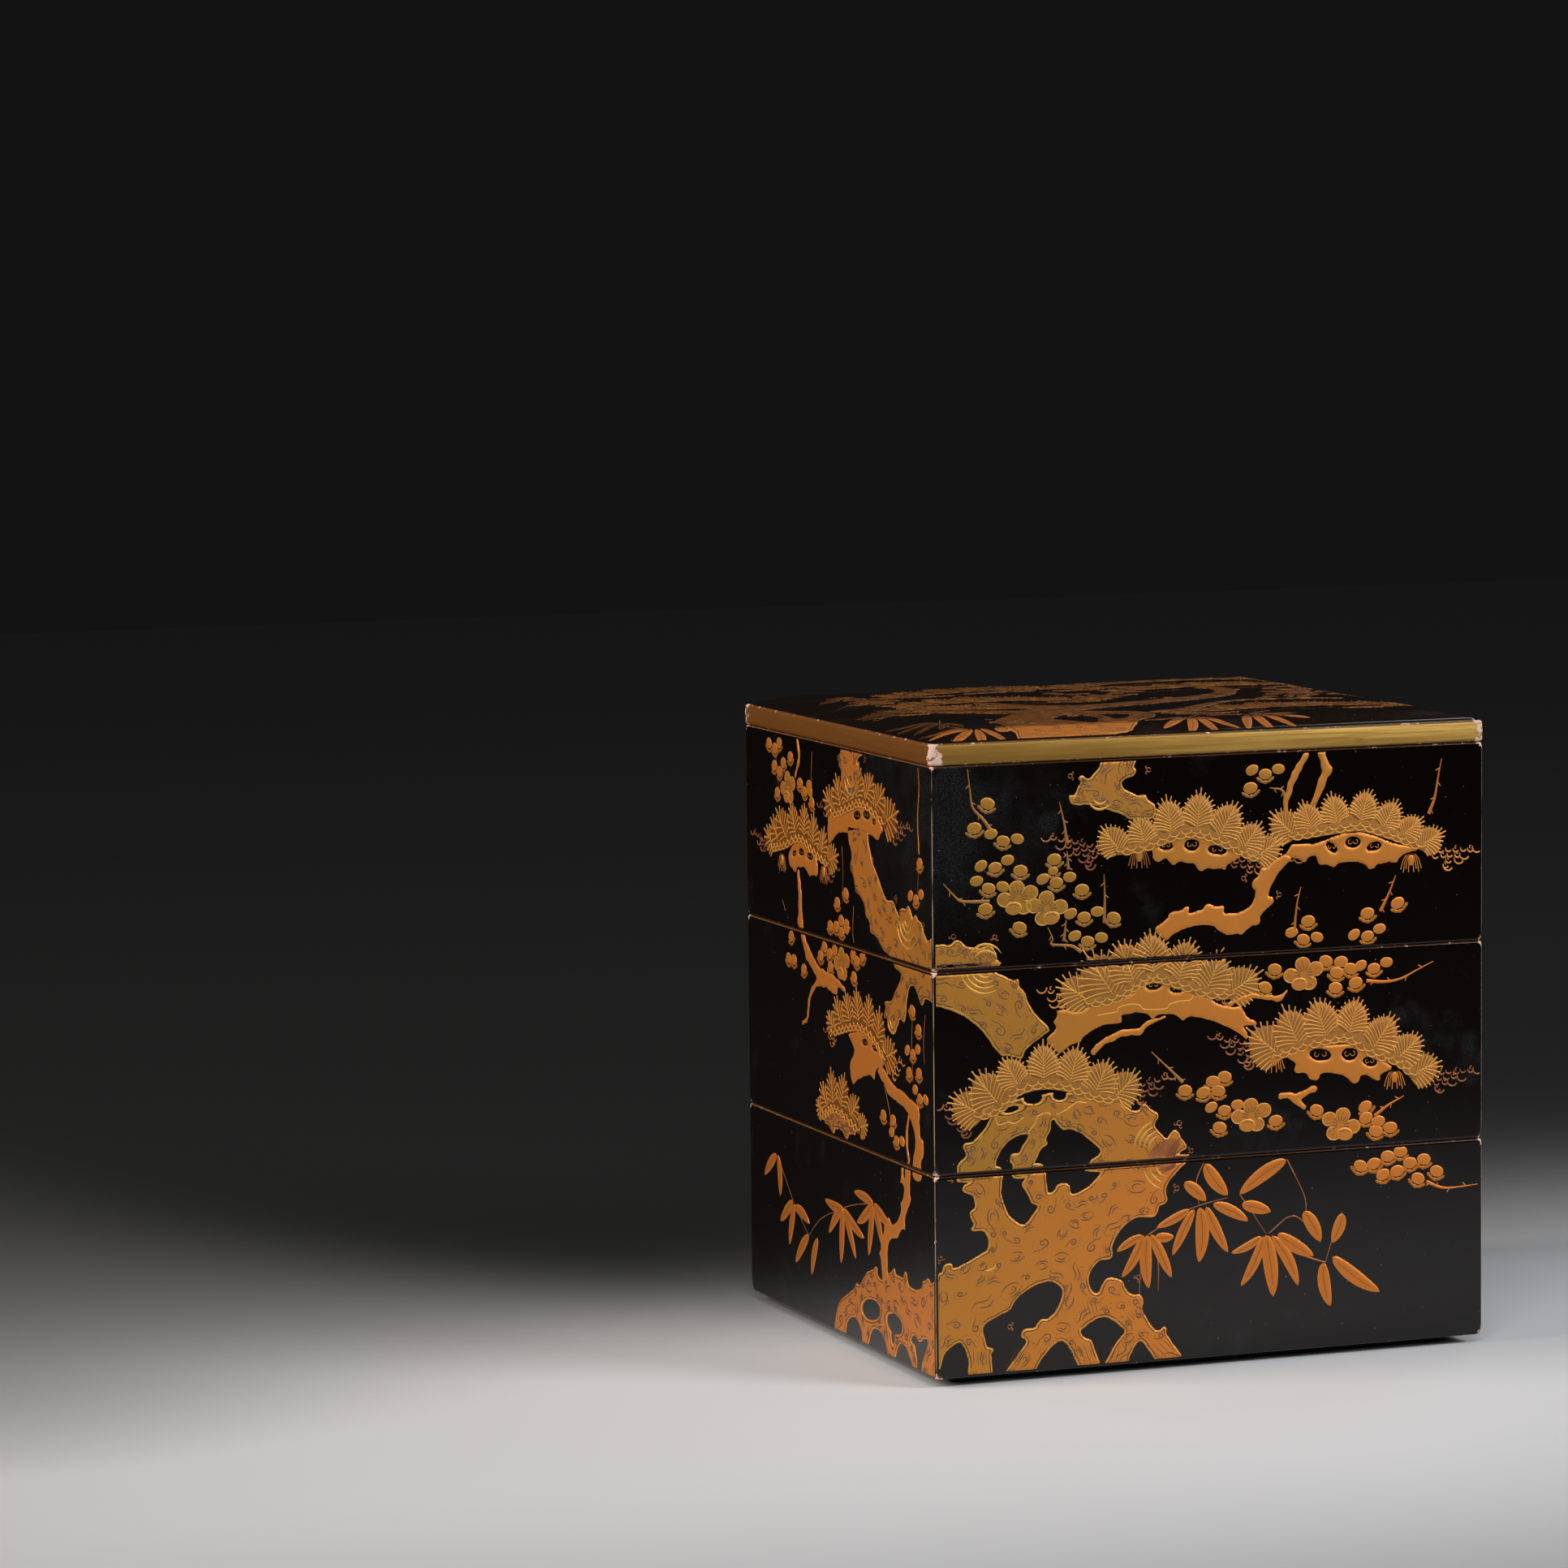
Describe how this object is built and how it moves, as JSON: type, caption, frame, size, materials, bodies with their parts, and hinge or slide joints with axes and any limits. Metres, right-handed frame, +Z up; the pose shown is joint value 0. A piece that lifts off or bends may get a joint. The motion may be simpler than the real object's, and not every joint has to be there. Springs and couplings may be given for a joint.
{
  "type": "lacquer stacking box",
  "caption": "Tall rectangular lacquer box of stacked open tiers that nest by a step, under a lift-off lid with a gold band and gold pine, plum and bamboo decoration.",
  "frame": {"origin": "centre of the underside of the step that the box stands on", "axes": "+Z up; the wide decorated front faces -Y; the narrower decorated side that shows in the picture faces -X"},
  "size_m": [0.229, 0.203, 0.2466],
  "materials": {
    "tier_lacquer": "gloss black lacquer over wood, with gold sprinkled and relief decoration",
    "lid_lacquer": "gloss black lacquer over wood, with a gold band and gold decoration"
  },
  "bodies": {
    "root": {"bottom_tier": "tier_lacquer", "middle_tier": "tier_lacquer", "top_tier": "tier_lacquer", "lid": "lid_lacquer"}
  },
  "joints": []
}
